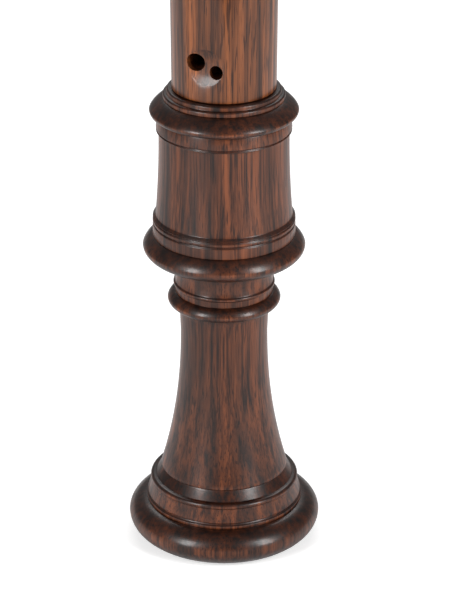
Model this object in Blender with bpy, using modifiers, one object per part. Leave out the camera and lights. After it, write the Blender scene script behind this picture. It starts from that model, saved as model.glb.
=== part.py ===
"""Tenor recorder in three turned wooden joints, with its block, cork laps and thumb rest.

Metres, +Z up. The instrument stands on its foot joint: the origin is the centre of the foot's
base, the mouthpiece is at the top, and the finger holes and the window face -Y.
"""
import math

import bmesh
import bpy
from mathutils import Matrix, Vector

MM = 0.001

# Fineness of the turned shapes
TURN_STEPS = 32
HOLE_SIDES = 16

# Fits between the pieces
TOUCH_GAP = 0.3 * MM
TENON_LENGTH = 29.0 * MM
TENON_CLEARANCE = 0.5 * MM
SOCKET_EXTRA_DEPTH = 1.0 * MM
LAP_OFFSET = 5.0 * MM
LAP_LENGTH = 16.0 * MM
LAP_THICKNESS = 1.4 * MM

# Foot joint: socket bulb, down from the joint line
FOOT_RIM_RADIUS = 16.8 * MM
FOOT_FILLET_RADIUS = 17.9 * MM
FOOT_UPPER_BEAD_RADIUS = 21.9 * MM
FOOT_BAND_RADIUS = 20.0 * MM
FOOT_BARREL_TOP_RADIUS = 19.2 * MM
FOOT_BARREL_BOTTOM_RADIUS = 20.3 * MM
FOOT_LIP_RADIUS = 21.2 * MM
FOOT_LOWER_BEAD_RADIUS = 24.2 * MM
FOOT_SOCKET_RADIUS = 12.6 * MM

# Heights along a socket bulb, shared by the foot joint and the head joint
RIM_HEIGHT = 1.4 * MM
FILLET_HEIGHT = 1.5 * MM
RIM_BEAD_RISE = 3.8 * MM
RIM_BEAD_FALL = 1.9 * MM
BAND_HEIGHT = 3.3 * MM
BARREL_LENGTH = 26.2 * MM
LIP_HEIGHT = 1.5 * MM
LIP_BAND_HEIGHT = 3.2 * MM
FAR_BEAD_RISE = 3.7 * MM
FAR_BEAD_FALL = 4.4 * MM
SCRIBE_WIDTH = 0.8 * MM
SCRIBE_DEPTH = 0.35 * MM
STEP_ROUND = 0.4 * MM

# Foot joint: neck, small bead, bell and base
NECK_FILLET_RADIUS = 15.9 * MM
NECK_FILLET_HEIGHT = 1.4 * MM
NECK_RADIUS = 14.3 * MM
NECK_HEIGHT = 5.4 * MM
NECK_STEP_RADIUS = 15.2 * MM
NECK_STEP_HEIGHT = 1.0 * MM
NECK_FOOT_RADIUS = 14.6 * MM
NECK_FOOT_HEIGHT = 2.3 * MM
SMALL_BEAD_RADIUS = 16.95 * MM
SMALL_BEAD_HEIGHT = 4.8 * MM
WAIST_TOP_RADIUS = 13.6 * MM
WAIST_RADIUS = 13.1 * MM
WAIST_LENGTH = 8.4 * MM
BELL_RADIUS = 19.3 * MM
BELL_LENGTH = 45.4 * MM
BELL_CURVE = 2.15
BELL_LEDGE_RADIUS = 20.9 * MM
BELL_LEDGE_HEIGHT = 3.4 * MM
BASE_LIP_RADIUS = 22.6 * MM
BASE_LIP_HEIGHT = 1.8 * MM
BASE_BAND_RADIUS = 23.5 * MM
BASE_BAND_HEIGHT = 4.0 * MM
BASE_RING_RADIUS = 23.8 * MM
BASE_RING_HEIGHT = 1.4 * MM
BASE_BEAD_SHOULDER = 23.1 * MM
BASE_BEAD_RADIUS = 29.3 * MM
BASE_BEAD_RISE = 5.3 * MM
BASE_BEAD_FALL = 6.3 * MM
BASE_REST_RADIUS = 21.8 * MM

# Bore radii, from the head down to the open foot
HEAD_BORE_RADIUS = 11.9 * MM
MIDDLE_BORE_TOP_RADIUS = 11.4 * MM
MIDDLE_BORE_BOTTOM_RADIUS = 8.4 * MM
FOOT_BORE_TOP_RADIUS = 8.2 * MM
FOOT_BORE_NARROW_RADIUS = 7.4 * MM
FOOT_BORE_MOUTH_RADIUS = 10.0 * MM
FOOT_BORE_MOUTH_DEPTH = 14.0 * MM

# Middle joint
MIDDLE_LENGTH = 288.0 * MM
MIDDLE_BOTTOM_RADIUS = 15.3 * MM
MIDDLE_TOP_RADIUS = 17.4 * MM

# Head joint
HEAD_SOCKET_RADIUS = 15.5 * MM
HEAD_RIM_RADIUS = 18.8 * MM
HEAD_FILLET_RADIUS = 19.6 * MM
HEAD_RIM_BEAD_RADIUS = 23.2 * MM
HEAD_BAND_RADIUS = 21.5 * MM
HEAD_BARREL_RIM_RADIUS = 20.9 * MM
HEAD_BARREL_NECK_RADIUS = 21.6 * MM
HEAD_LIP_RADIUS = 22.3 * MM
HEAD_FAR_BEAD_RADIUS = 24.6 * MM
HEAD_NECK_RADIUS = 18.0 * MM
HEAD_NECK_LENGTH = 9.0 * MM
HEAD_BODY_RADIUS = 18.7 * MM
HEAD_BODY_LENGTH = 96.0 * MM
HEAD_TIP_RADIUS = 17.2 * MM
HEAD_BEAK_LENGTH = 52.0 * MM
HEAD_TIP_ROUND = 2.0 * MM

# Window, windway and beak
WINDOW_BELOW_TIP = 64.0 * MM
WINDOW_WIDTH = 13.0 * MM
WINDOW_HEIGHT = 4.8 * MM
LABIUM_LENGTH = 25.0 * MM
LABIUM_EDGE = 0.7 * MM
WINDWAY_EXIT_HEIGHT = 1.2 * MM
WINDWAY_ENTRY_HEIGHT = 2.0 * MM
BEAK_CURVE_RADIUS = 66.5 * MM
BEAK_TIP_THICKNESS = 9.4 * MM
CUT_MARGIN = 5.0 * MM

# Finger holes: height above the foot's joint line, diameter, place round the joint in degrees
# from -Y towards +X, and the direction that the drill points along, in the same degrees
HOLES = (
    ("hole_1", 225.0 * MM, 7.0 * MM, 0.0, 0.0),
    ("hole_2", 192.0 * MM, 7.5 * MM, 0.0, 0.0),
    ("hole_3", 159.0 * MM, 7.0 * MM, 0.0, 0.0),
    ("hole_4", 115.0 * MM, 7.0 * MM, 0.0, 0.0),
    ("hole_5", 82.0 * MM, 7.5 * MM, 0.0, 0.0),
    ("hole_6_large", 52.0 * MM, 5.6 * MM, -13.5, -2.0),
    ("hole_6_small", 50.5 * MM, 4.2 * MM, 9.5, -2.0),
    ("hole_7_large", 11.7 * MM, 5.5 * MM, -32.6, -21.0),
    ("hole_7_small", 9.2 * MM, 4.1 * MM, -9.4, -21.0),
    ("thumb_hole", 240.0 * MM, 7.0 * MM, 180.0, 180.0),
)

# Finger dishes round the two double holes: height, angle in degrees
DISHES = (
    ("dish_7", 10.6 * MM, -21.0),
    ("dish_6", 51.4 * MM, -2.0),
)
DISH_WIDE = 14.5 * MM
DISH_TALL = 7.6 * MM
DISH_DEEP = 4.0 * MM
DISH_SINK = 1.3 * MM

# Thumb rest on the back of the middle joint
REST_HEIGHT = 96.0 * MM
REST_WIDTH = 15.0 * MM
REST_LENGTH = 34.0 * MM
REST_PLATE = 2.6 * MM
REST_SHELF = 9.0 * MM
REST_SHELF_THICKNESS = 3.6 * MM
REST_ROUND = 1.2 * MM
SCREW_SPACING = 12.0 * MM
SCREW_BELOW_SHELF = 3.5 * MM
SCREW_HEAD_RADIUS = 2.2 * MM
SCREW_HEAD_HEIGHT = 0.9 * MM
SCREW_SHANK_RADIUS = 1.1 * MM
SCREW_LENGTH = 5.0 * MM
SCREW_CLEARANCE = 0.3 * MM
SCREW_SLOT_WIDTH = 0.7 * MM
SCREW_SIDES = 12

# Colours: base colour, roughness, metallic
ROSEWOOD_DARK = ((0.095, 0.030, 0.018), 0.38, 0.0)
ROSEWOOD_WARM = ((0.155, 0.052, 0.024), 0.38, 0.0)
CEDAR = ((0.46, 0.22, 0.11), 0.7, 0.0)
CORK = ((0.55, 0.36, 0.20), 0.85, 0.0)
EBONY = ((0.025, 0.018, 0.015), 0.35, 0.0)
BRASS = ((0.70, 0.50, 0.20), 0.3, 1.0)


class Turning:
    """The outside of a turned piece: points of radius and distance along its axis."""

    def __init__(self, radius):
        self.points = [(radius, 0.0)]

    def line(self, radius, run):
        """A straight stretch, or a step across where run is 0."""
        self.points.append((radius, self.points[-1][1] + run))

    def scribe(self):
        """A V-shaped scribed line."""
        radius = self.points[-1][0]
        self.line(radius - SCRIBE_DEPTH, SCRIBE_WIDTH / 2)
        self.line(radius, SCRIBE_WIDTH / 2)

    def swell(self, radius, run, power, steps):
        """A curve that leaves along the axis and bends away as the power of the run."""
        start, base = self.points[-1]
        for step in range(1, steps + 1):
            part = step / steps
            self.points.append((start + (radius - start) * part ** power, base + run * part))

    def bead(self, start, crest, rise, end, fall, fullness=2.0, steps=4):
        """A half-round bead from one radius over its crest to another."""
        base = self.points[-1][1]
        for step in range(steps + 1):
            angle = math.pi / 2 * step / steps
            radius = start + (crest - start) * math.sin(angle) ** (2 / fullness)
            along = rise - rise * max(math.cos(angle), 0.0) ** (2 / fullness)
            self.points.append((radius, base + along))
        for step in range(1, steps + 1):
            angle = math.pi / 2 * step / steps
            radius = end + (crest - end) * max(math.cos(angle), 0.0)
            self.points.append((radius, base + rise + fall * math.sin(angle)))

    def length(self):
        return self.points[-1][1]


def turn_bulb(rim, fillet, rim_bead, band, barrel_rim, barrel_neck, lip, far_bead, neck):
    """The beads, band and barrel round a socket, from the joint line to the neck."""
    bulb = Turning(rim - STEP_ROUND)
    bulb.line(rim, STEP_ROUND)
    bulb.line(rim, RIM_HEIGHT - STEP_ROUND)
    bulb.line(fillet - STEP_ROUND, 0.1 * STEP_ROUND)
    bulb.line(fillet, STEP_ROUND)
    bulb.line(fillet, FILLET_HEIGHT - STEP_ROUND)
    bulb.bead(fillet - STEP_ROUND, rim_bead, RIM_BEAD_RISE, band - 1.5 * STEP_ROUND,
              RIM_BEAD_FALL, fullness=1.3)
    bulb.line(band - STEP_ROUND, 0.5 * STEP_ROUND)
    bulb.line(band, BAND_HEIGHT)
    bulb.scribe()
    bulb.line(barrel_rim, STEP_ROUND)
    bulb.swell(barrel_neck, BARREL_LENGTH, 2.1, 6)
    bulb.line(lip, 2 * STEP_ROUND)
    bulb.scribe()
    bulb.line(lip, LIP_HEIGHT - SCRIBE_WIDTH)
    bulb.scribe()
    bulb.line(lip, LIP_BAND_HEIGHT)
    bulb.bead(lip - STEP_ROUND, far_bead, FAR_BEAD_RISE, neck, FAR_BEAD_FALL, fullness=1.4)
    return bulb


def turn_foot():
    """The foot joint from its joint line down to its base."""
    foot = turn_bulb(FOOT_RIM_RADIUS, FOOT_FILLET_RADIUS, FOOT_UPPER_BEAD_RADIUS, FOOT_BAND_RADIUS,
                     FOOT_BARREL_TOP_RADIUS, FOOT_BARREL_BOTTOM_RADIUS, FOOT_LIP_RADIUS,
                     FOOT_LOWER_BEAD_RADIUS, NECK_FILLET_RADIUS + STEP_ROUND)
    foot.line(NECK_FILLET_RADIUS, 0.5 * STEP_ROUND)
    foot.line(NECK_FILLET_RADIUS, NECK_FILLET_HEIGHT)
    foot.line(NECK_RADIUS + STEP_ROUND, 0.5 * STEP_ROUND)
    foot.line(NECK_RADIUS, NECK_HEIGHT / 2)
    foot.line(NECK_RADIUS + STEP_ROUND, NECK_HEIGHT / 2)
    foot.line(NECK_STEP_RADIUS, STEP_ROUND)
    foot.line(NECK_STEP_RADIUS, NECK_STEP_HEIGHT - STEP_ROUND)
    foot.line(NECK_FOOT_RADIUS, STEP_ROUND)
    foot.line(NECK_FOOT_RADIUS, NECK_FOOT_HEIGHT - STEP_ROUND)
    foot.bead(NECK_FOOT_RADIUS, SMALL_BEAD_RADIUS, SMALL_BEAD_HEIGHT / 2, WAIST_TOP_RADIUS,
              SMALL_BEAD_HEIGHT / 2, fullness=1.5, steps=4)
    foot.line((WAIST_TOP_RADIUS + WAIST_RADIUS) / 2, WAIST_LENGTH / 4)
    foot.line(WAIST_RADIUS, 3 * WAIST_LENGTH / 4)
    foot.swell(BELL_RADIUS, BELL_LENGTH, BELL_CURVE, 9)
    foot.scribe()
    foot.line(BELL_LEDGE_RADIUS, BELL_LEDGE_HEIGHT - SCRIBE_WIDTH)
    foot.bead(BELL_LEDGE_RADIUS + STEP_ROUND, BASE_LIP_RADIUS, BASE_LIP_HEIGHT / 2,
              BASE_LIP_RADIUS - STEP_ROUND, BASE_LIP_HEIGHT / 2, steps=2)
    foot.line(BASE_BAND_RADIUS, BASE_BAND_HEIGHT)
    foot.scribe()
    foot.line(BASE_RING_RADIUS, STEP_ROUND / 4)
    foot.line(BASE_RING_RADIUS, BASE_RING_HEIGHT - STEP_ROUND)
    foot.bead(BASE_BEAD_SHOULDER, BASE_BEAD_RADIUS, BASE_BEAD_RISE, BASE_REST_RADIUS,
              BASE_BEAD_FALL, fullness=1.85, steps=6)
    return foot


def turn_head():
    """The head joint from its joint line up to the tip of its beak."""
    head = turn_bulb(HEAD_RIM_RADIUS, HEAD_FILLET_RADIUS, HEAD_RIM_BEAD_RADIUS, HEAD_BAND_RADIUS,
                     HEAD_BARREL_RIM_RADIUS, HEAD_BARREL_NECK_RADIUS, HEAD_LIP_RADIUS,
                     HEAD_FAR_BEAD_RADIUS, HEAD_NECK_RADIUS + 2 * STEP_ROUND)
    head.line(HEAD_NECK_RADIUS + STEP_ROUND, STEP_ROUND)
    head.line(HEAD_NECK_RADIUS, HEAD_NECK_LENGTH)
    head.swell(HEAD_BODY_RADIUS, HEAD_BODY_LENGTH, 1.2, 4)
    head.swell(HEAD_TIP_RADIUS, HEAD_BEAK_LENGTH, 1.4, 5)
    head.line(HEAD_TIP_RADIUS - 0.3 * HEAD_TIP_ROUND, 0.7 * HEAD_TIP_ROUND)
    head.line(HEAD_TIP_RADIUS - HEAD_TIP_ROUND, 0.3 * HEAD_TIP_ROUND)
    return head


# Heights that follow from the turned lengths
FOOT_PROFILE = turn_foot()
HEAD_PROFILE = turn_head()
FOOT_TOP = FOOT_PROFILE.length()
MIDDLE_BOTTOM = FOOT_TOP + TOUCH_GAP
MIDDLE_TOP = MIDDLE_BOTTOM + MIDDLE_LENGTH
HEAD_BOTTOM = MIDDLE_TOP + TOUCH_GAP
HEAD_TOP = HEAD_BOTTOM + HEAD_PROFILE.length()
SOCKET_DEPTH = TENON_LENGTH + SOCKET_EXTRA_DEPTH
WINDOW_TOP = HEAD_TOP - WINDOW_BELOW_TIP
WINDOW_BOTTOM = WINDOW_TOP - WINDOW_HEIGHT


def clear_scene():
    for item in list(bpy.data.objects):
        bpy.data.objects.remove(item, do_unlink=True)


def new_collection(name):
    group = bpy.data.collections.new(name)
    bpy.context.scene.collection.children.link(group)
    return group


def make_material(name, look):
    colour, roughness, metallic = look
    material = bpy.data.materials.new(name)
    material.use_nodes = True
    shader = material.node_tree.nodes["Principled BSDF"]
    shader.inputs["Base Color"].default_value = (*colour, 1.0)
    shader.inputs["Roughness"].default_value = roughness
    shader.inputs["Metallic"].default_value = metallic
    material.diffuse_color = (*colour, 1.0)
    return material


def add_object(name, mesh, group, material=None):
    item = bpy.data.objects.new(name, mesh)
    group.objects.link(item)
    if material is not None:
        mesh.materials.append(material)
    return item


def hide_cutter(item):
    item.hide_render = True
    item.display_type = "WIRE"
    return item


def turned(name, outline, group, material=None):
    """A body turned round Z from a closed outline that runs down its outer side."""
    mesh = bpy.data.meshes.new(name)
    vertices = [(radius, 0.0, height) for radius, height in outline]
    count = len(vertices)
    mesh.from_pydata(vertices, [(i, (i + 1) % count) for i in range(count)], [])
    item = add_object(name, mesh, group, material)
    screw = item.modifiers.new("turn", "SCREW")
    screw.axis = "Z"
    screw.angle = 2 * math.pi
    screw.steps = TURN_STEPS
    screw.render_steps = TURN_STEPS
    screw.use_merge_vertices = True
    screw.merge_threshold = 0.00001
    return item


def bmesh_object(name, shape, group, material=None):
    mesh = bpy.data.meshes.new(name)
    shape.to_mesh(mesh)
    shape.free()
    return add_object(name, mesh, group, material)


def rod(name, radius_low, radius_high, length, place, group, material=None, sides=HOLE_SIDES):
    """A cylinder or cone along its own Z, centred on its place."""
    shape = bmesh.new()
    bmesh.ops.create_cone(shape, cap_ends=True, segments=sides, radius1=radius_low,
                          radius2=radius_high, depth=length)
    item = bmesh_object(name, shape, group, material)
    item.matrix_world = place
    return item


def block_shape(name, size, centre, group, material=None):
    shape = bmesh.new()
    bmesh.ops.create_cube(shape, size=1.0)
    bmesh.ops.scale(shape, vec=Vector(size), verts=shape.verts)
    item = bmesh_object(name, shape, group, material)
    item.location = centre
    return item


def plate_across(name, outline, width, group):
    """A flat outline in Y and Z, extruded along X to a width and centred on X = 0."""
    shape = bmesh.new()
    corners = [shape.verts.new((-width / 2, y, z)) for y, z in outline]
    face = shape.faces.new(corners)
    grown = bmesh.ops.extrude_face_region(shape, geom=[face])
    moved = [part for part in grown["geom"] if isinstance(part, bmesh.types.BMVert)]
    bmesh.ops.translate(shape, vec=(width, 0.0, 0.0), verts=moved)
    bmesh.ops.recalc_face_normals(shape, faces=shape.faces)
    return bmesh_object(name, shape, group)


def boolean(item, tool, operation="DIFFERENCE"):
    modifier = item.modifiers.new(tool.name, "BOOLEAN")
    modifier.operation = operation
    modifier.solver = "EXACT"
    modifier.object = tool


def shade(item):
    item.data.shade_smooth()
    item.data.set_sharp_from_angle(angle=math.radians(35))


def around(angle, height, radius=0.0):
    """A place at an angle from -Y towards +X, whose own Z points out from the bore."""
    turn = math.radians(angle)
    outward = Vector((math.sin(turn), -math.cos(turn), 0.0))
    facing = outward.to_track_quat("Z", "Y").to_matrix().to_4x4()
    return Matrix.Translation(outward * radius + Vector((0.0, 0.0, height))) @ facing


def downwards(profile, top):
    """A profile that is measured down from its top, as radius and height."""
    return [(radius, top - along) for radius, along in profile.points]


def upwards(profile, bottom):
    """A profile that is measured up from its bottom, read from the top down."""
    return [(radius, bottom + along) for radius, along in reversed(profile.points)]


def tenon_radius(socket_radius):
    return socket_radius - TENON_CLEARANCE


def lap_outer(socket_radius):
    return socket_radius - TOUCH_GAP


def lap_inner(socket_radius):
    return lap_outer(socket_radius) - LAP_THICKNESS


def tenon_steps(socket_radius, shoulder, direction):
    """The outside of a tenon from its shoulder to its tip, with the groove for its lap."""
    collar = tenon_radius(socket_radius)
    core = lap_inner(socket_radius) - TOUCH_GAP
    stops = (
        (collar, 0.0),
        (collar, LAP_OFFSET),
        (core, LAP_OFFSET),
        (core, LAP_OFFSET + LAP_LENGTH),
        (collar, LAP_OFFSET + LAP_LENGTH),
        (collar, TENON_LENGTH - STEP_ROUND),
        (collar - STEP_ROUND, TENON_LENGTH),
    )
    return [(radius, shoulder + direction * along) for radius, along in stops]


def make_foot(parts, material):
    socket_floor = FOOT_TOP - SOCKET_DEPTH
    outline = downwards(FOOT_PROFILE, FOOT_TOP)
    outline += [
        (FOOT_BORE_MOUTH_RADIUS, 0.0),
        (FOOT_BORE_NARROW_RADIUS, FOOT_BORE_MOUTH_DEPTH),
        (FOOT_BORE_TOP_RADIUS, socket_floor),
        (FOOT_SOCKET_RADIUS, socket_floor),
        (FOOT_SOCKET_RADIUS, FOOT_TOP - STEP_ROUND),
        (FOOT_SOCKET_RADIUS + STEP_ROUND, FOOT_TOP),
    ]
    foot = turned("foot_joint", outline, parts, material)
    return foot


def body_radius(height):
    """The middle joint's outside radius at a height above the foot's joint line."""
    part = height / MIDDLE_LENGTH
    return MIDDLE_BOTTOM_RADIUS + (MIDDLE_TOP_RADIUS - MIDDLE_BOTTOM_RADIUS) * part


def hole_cutters(cutters):
    tools = []
    for name, height, angle in DISHES:
        shape = bmesh.new()
        bmesh.ops.create_uvsphere(shape, u_segments=32, v_segments=16, radius=1.0)
        bmesh.ops.scale(shape, vec=(DISH_WIDE, DISH_TALL, DISH_DEEP), verts=shape.verts)
        dish = bmesh_object(name, shape, cutters)
        centre = body_radius(height) + DISH_DEEP - DISH_SINK
        dish.matrix_world = around(angle, MIDDLE_BOTTOM + height, centre)
        tools.append(hide_cutter(dish))
    for name, height, diameter, angle, aim in HOLES:
        length = MIDDLE_TOP_RADIUS + CUT_MARGIN
        surface = around(angle, MIDDLE_BOTTOM + height, body_radius(height)).translation
        place = around(aim, 0.0)
        place.translation = surface + place.to_3x3() @ Vector((0.0, 0.0, CUT_MARGIN - length / 2))
        drill = rod(name, diameter / 2, diameter / 2, length, place, cutters)
        tools.append(hide_cutter(drill))
    return tools


def make_middle(parts, cutters, material):
    outline = list(reversed(tenon_steps(HEAD_SOCKET_RADIUS, MIDDLE_TOP, 1)))
    outline += [(MIDDLE_TOP_RADIUS, MIDDLE_TOP), (MIDDLE_BOTTOM_RADIUS, MIDDLE_BOTTOM)]
    outline += tenon_steps(FOOT_SOCKET_RADIUS, MIDDLE_BOTTOM, -1)
    outline += [
        (MIDDLE_BORE_BOTTOM_RADIUS, MIDDLE_BOTTOM - TENON_LENGTH),
        (MIDDLE_BORE_TOP_RADIUS, MIDDLE_TOP + TENON_LENGTH),
    ]
    middle = turned("middle_joint", outline, parts, material)
    for tool in hole_cutters(cutters):
        boolean(middle, tool)
    for tool in rest_screw_holes(cutters):
        boolean(middle, tool)
    return middle


def make_lap(name, socket_radius, shoulder, direction, parts, material):
    """The cork wound round a tenon, a little shorter than its groove."""
    first = shoulder + direction * (LAP_OFFSET + TOUCH_GAP)
    second = shoulder + direction * (LAP_OFFSET + LAP_LENGTH - TOUCH_GAP)
    low, high = sorted((first, second))
    outer = lap_outer(socket_radius)
    inner = lap_inner(socket_radius)
    outline = [(outer, high), (outer, low), (inner, low), (inner, high)]
    return turned(name, outline, parts, material)


def beak_cutter(cutters):
    """A wide cylinder across the back of the tip, which leaves the beak's hollow curve."""
    nearest = -HEAD_TIP_RADIUS + BEAK_TIP_THICKNESS
    centre = Vector((0.0, nearest + BEAK_CURVE_RADIUS, HEAD_TOP))
    place = Matrix.Translation(centre) @ Matrix.Rotation(math.pi / 2, 4, "Y")
    width = 2 * (HEAD_BODY_RADIUS + CUT_MARGIN)
    beak = rod("beak_curve", BEAK_CURVE_RADIUS, BEAK_CURVE_RADIUS, width, place, cutters,
               sides=96)
    return hide_cutter(beak)


def window_cutter(cutters):
    """The window through the front wall and the ramp that runs down from its edge."""
    edge = HEAD_BORE_RADIUS + LABIUM_EDGE
    outside = HEAD_BODY_RADIUS + CUT_MARGIN
    inside = HEAD_BORE_RADIUS - CUT_MARGIN
    slope = (HEAD_BODY_RADIUS - edge) / LABIUM_LENGTH
    run = (outside - edge) / slope
    outline = [
        (-inside, WINDOW_TOP),
        (-inside, WINDOW_BOTTOM),
        (-edge, WINDOW_BOTTOM),
        (-outside, WINDOW_BOTTOM - run),
        (-outside, WINDOW_TOP),
    ]
    return hide_cutter(plate_across("window_and_ramp", outline, WINDOW_WIDTH, cutters))


def windway_cutter(cutters):
    """The arched air passage over the block, wider towards the tip."""
    length = WINDOW_BELOW_TIP + CUT_MARGIN
    slope = (WINDWAY_ENTRY_HEIGHT - WINDWAY_EXIT_HEIGHT) / WINDOW_BELOW_TIP
    low = HEAD_BORE_RADIUS + WINDWAY_EXIT_HEIGHT
    place = Matrix.Translation((0.0, 0.0, WINDOW_TOP + length / 2))
    arch = rod("windway", low, low + slope * length, length, place, cutters, sides=TURN_STEPS)
    depth = 2 * HEAD_BODY_RADIUS
    sides = block_shape("windway_sides", (WINDOW_WIDTH, depth, 2 * length),
                        (0.0, -depth / 2, WINDOW_TOP + length / 2), cutters)
    boolean(arch, hide_cutter(sides), "INTERSECT")
    return hide_cutter(arch)


def make_head(parts, cutters, material, beak):
    socket_floor = HEAD_BOTTOM + SOCKET_DEPTH
    outline = upwards(HEAD_PROFILE, HEAD_BOTTOM)
    outline += [
        (HEAD_SOCKET_RADIUS + STEP_ROUND, HEAD_BOTTOM),
        (HEAD_SOCKET_RADIUS, HEAD_BOTTOM + STEP_ROUND),
        (HEAD_SOCKET_RADIUS, socket_floor),
        (HEAD_BORE_RADIUS, socket_floor),
        (HEAD_BORE_RADIUS, HEAD_TOP),
    ]
    head = turned("head_joint", outline, parts, material)
    for tool in (window_cutter(cutters), windway_cutter(cutters), beak):
        boolean(head, tool)
    return head


def make_block(parts, material, beak):
    """The cedar plug under the windway, cut to the same beak as the head."""
    radius = HEAD_BORE_RADIUS - TOUCH_GAP
    length = WINDOW_BELOW_TIP
    place = Matrix.Translation((0.0, 0.0, WINDOW_TOP + length / 2))
    block = rod("windway_block", radius, radius, length, place, parts, material,
                sides=TURN_STEPS)
    boolean(block, beak)
    return block


def rest_screw_places():
    radius = body_radius(REST_HEIGHT) + TOUCH_GAP + REST_PLATE + TOUCH_GAP
    top = REST_HEIGHT - SCREW_BELOW_SHELF
    for height in (top - SCREW_SPACING / 2, top - SCREW_SPACING * 3 / 2):
        yield around(180.0, MIDDLE_BOTTOM + height, radius)


def rest_screw_holes(cutters):
    """Clearance holes for the thumb rest's screws, from outside to the screw's depth."""
    tools = []
    for number, place in enumerate(rest_screw_places(), 1):
        depth = SCREW_LENGTH + SCREW_CLEARANCE
        radius = SCREW_SHANK_RADIUS + SCREW_CLEARANCE
        shift = Matrix.Translation((0.0, 0.0, (SCREW_CLEARANCE - depth) / 2))
        hole = rod(f"screw_hole_{number}", radius, radius, depth + SCREW_CLEARANCE, place @ shift,
                   cutters, sides=SCREW_SIDES)
        tools.append(hide_cutter(hole))
    return tools


def make_thumb_rest(parts, cutters, material):
    """A curved plate against the back of the joint, with a shelf for the thumb above it."""
    wall = body_radius(REST_HEIGHT + REST_SHELF_THICKNESS) + TOUCH_GAP
    plate = wall + REST_PLATE
    tip = plate + REST_SHELF
    top = MIDDLE_BOTTOM + REST_HEIGHT + REST_SHELF_THICKNESS
    under = top - REST_SHELF_THICKNESS
    bottom = top - REST_LENGTH
    outline = [
        (0.8 * wall, top),
        (tip - REST_ROUND, top),
        (tip, top - REST_ROUND),
        (tip, under + REST_ROUND),
        (tip - REST_ROUND, under),
        (plate + REST_ROUND, under),
        (plate, under - REST_ROUND),
        (plate, bottom + REST_ROUND),
        (plate - REST_ROUND, bottom),
        (0.8 * wall, bottom),
    ]
    rest = plate_across("thumb_rest", outline, REST_WIDTH, cutters)
    cutters.objects.unlink(rest)
    parts.objects.link(rest)
    rest.data.materials.append(material)
    place = Matrix.Translation((0.0, 0.0, top - REST_LENGTH / 2))
    seat = rod("rest_seat", wall, wall, REST_LENGTH + CUT_MARGIN, place, cutters,
               sides=48)
    boolean(rest, hide_cutter(seat))
    for tool in [item for item in cutters.objects if item.name.startswith("screw_hole")]:
        boolean(rest, tool)
    return rest


def make_rest_screw(number, place, parts, cutters, material):
    """A slotted round-head screw, its head on the thumb rest and its axis at a place."""
    shape = bmesh.new()
    outline = (
        (0.0, SCREW_HEAD_HEIGHT),
        (0.6 * SCREW_HEAD_RADIUS, SCREW_HEAD_HEIGHT),
        (SCREW_HEAD_RADIUS, 0.5 * SCREW_HEAD_HEIGHT),
        (SCREW_HEAD_RADIUS, 0.0),
        (SCREW_SHANK_RADIUS, 0.0),
        (SCREW_SHANK_RADIUS, -0.8 * SCREW_LENGTH),
        (0.0, -SCREW_LENGTH),
    )
    corners = [shape.verts.new((radius, 0.0, height)) for radius, height in outline]
    edges = [shape.edges.new(pair) for pair in zip(corners, corners[1:])]
    bmesh.ops.spin(shape, geom=corners + edges, axis=(0.0, 0.0, 1.0), cent=(0.0, 0.0, 0.0),
                   dvec=(0.0, 0.0, 0.0), angle=2 * math.pi, steps=SCREW_SIDES, use_merge=True,
                   use_duplicate=False)
    bmesh.ops.remove_doubles(shape, verts=shape.verts, dist=0.000001)
    bmesh.ops.recalc_face_normals(shape, faces=shape.faces)
    screw = bmesh_object(f"thumb_rest_screw_{number}", shape, parts, material)
    screw.matrix_world = place
    size = (4 * SCREW_HEAD_RADIUS, SCREW_SLOT_WIDTH, SCREW_HEAD_HEIGHT)
    slot = block_shape(f"screw_slot_{number}", size, (0.0, 0.0, 0.0), cutters)
    slot.matrix_world = place @ Matrix.Translation((0.0, 0.0, SCREW_HEAD_HEIGHT))
    boolean(screw, hide_cutter(slot))
    return screw


def main():
    clear_scene()
    parts = new_collection("tenor_recorder")
    cutters = new_collection("cutters")
    dark_wood = make_material("rosewood_dark", ROSEWOOD_DARK)
    warm_wood = make_material("rosewood_warm", ROSEWOOD_WARM)
    cedar = make_material("cedar", CEDAR)
    cork = make_material("cork", CORK)
    ebony = make_material("ebony", EBONY)
    brass = make_material("brass", BRASS)
    beak = beak_cutter(cutters)
    pieces = [
        make_foot(parts, dark_wood),
        make_middle(parts, cutters, warm_wood),
        make_head(parts, cutters, warm_wood, beak),
        make_block(parts, cedar, beak),
        make_lap("lower_tenon_cork", FOOT_SOCKET_RADIUS, MIDDLE_BOTTOM, -1, parts, cork),
        make_lap("upper_tenon_cork", HEAD_SOCKET_RADIUS, MIDDLE_TOP, 1, parts, cork),
        make_thumb_rest(parts, cutters, ebony),
    ]
    for number, place in enumerate(rest_screw_places(), 1):
        pieces.append(make_rest_screw(number, place, parts, cutters, brass))
    for piece in pieces:
        shade(piece)


main()
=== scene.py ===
"""Finish of a tenor recorder: fine turned joints, rosewood, cork, cedar, ebony and brass."""
import math
from collections import namedtuple

import bmesh
import bpy
from bpy.props import FloatProperty, FloatVectorProperty, PointerProperty
from mathutils import Matrix, Vector


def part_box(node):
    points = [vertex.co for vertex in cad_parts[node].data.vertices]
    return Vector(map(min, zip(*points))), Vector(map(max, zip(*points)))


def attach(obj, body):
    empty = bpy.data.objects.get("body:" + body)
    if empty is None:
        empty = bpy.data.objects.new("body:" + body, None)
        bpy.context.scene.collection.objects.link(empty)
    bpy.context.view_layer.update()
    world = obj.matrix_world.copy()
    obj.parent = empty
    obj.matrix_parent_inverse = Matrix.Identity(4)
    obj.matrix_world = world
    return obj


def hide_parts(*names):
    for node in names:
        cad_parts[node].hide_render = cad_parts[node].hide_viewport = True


bl_info = {
    "name": "Tenor Recorder",
    "version": (1, 0, 0),
    "blender": (4, 5, 0),
    "location": "View3D > Sidebar > Recorder",
    "description": "Turned joints, block, laps and thumb rest of a tenor recorder",
    "category": "Add Mesh",
}

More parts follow.
